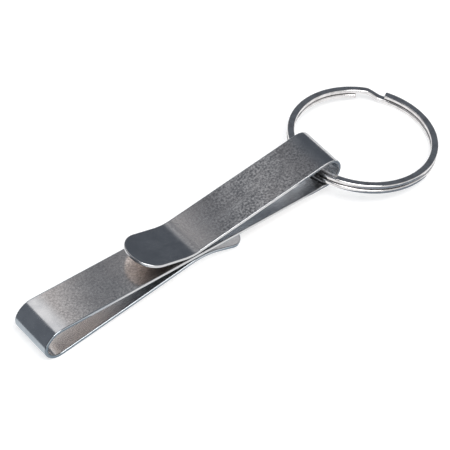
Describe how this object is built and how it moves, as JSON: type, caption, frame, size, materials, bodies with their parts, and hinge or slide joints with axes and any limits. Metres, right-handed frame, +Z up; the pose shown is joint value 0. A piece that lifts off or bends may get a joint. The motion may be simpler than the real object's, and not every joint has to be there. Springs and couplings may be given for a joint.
{
  "type": "belt key clip",
  "caption": "Slip-on belt key clip: a spring-steel strip bent into a flat S with flared tongues, and a split key ring hung in one of its end loops.",
  "frame": {"origin": "under the middle of the whole part's box, on the surface it lies on", "axes": "+X along the clip from the belt loop towards the key ring, +Y across the strip, +Z up from the surface"},
  "size_m": [0.1242, 0.039, 0.013],
  "materials": {
    "spring_steel": "bright nickel over tumbled flats, polished at the bends",
    "ring_wire": "bright nickel"
  },
  "bodies": {
    "clip_body": {"clip_spine": "spring_steel"},
    "ring_side_leg": {"ring_leg": "spring_steel"},
    "belt_side_leg": {"belt_leg": "spring_steel"},
    "key_ring": {"split_ring": "ring_wire"},
    "key_ring_end": {"ring_free_end": "ring_wire"}
  },
  "joints": [
    {"name": "ring_leg_spring", "type": "hinge", "parent": "clip_body", "child": "ring_side_leg", "pos_m": [0.02415, -0.0008, 0.01247], "axis": [0, 1, 0], "range_deg": [0, 9], "stiffness_Nm_per_rad": 4},
    {"name": "belt_leg_spring", "type": "hinge", "parent": "clip_body", "child": "belt_side_leg", "pos_m": [-0.05679, -0.0008, 0.00052], "axis": [0, 1, 0], "range_deg": [0, 9], "stiffness_Nm_per_rad": 4},
    {"name": "ring_swing", "type": "hinge", "parent": "clip_body", "child": "key_ring", "pos_m": [0.02503, -0.0008, 0.00866], "axis": [0, 1, 0], "range_deg": [-140, 140]},
    {"name": "ring_end_lift", "type": "hinge", "parent": "key_ring", "child": "key_ring_end", "pos_m": [0.05078, -0.01675, 0.00391], "axis": [0.4332, -0.8988, -0.0671], "range_deg": [0, 8], "stiffness_Nm_per_rad": 2}
  ]
}
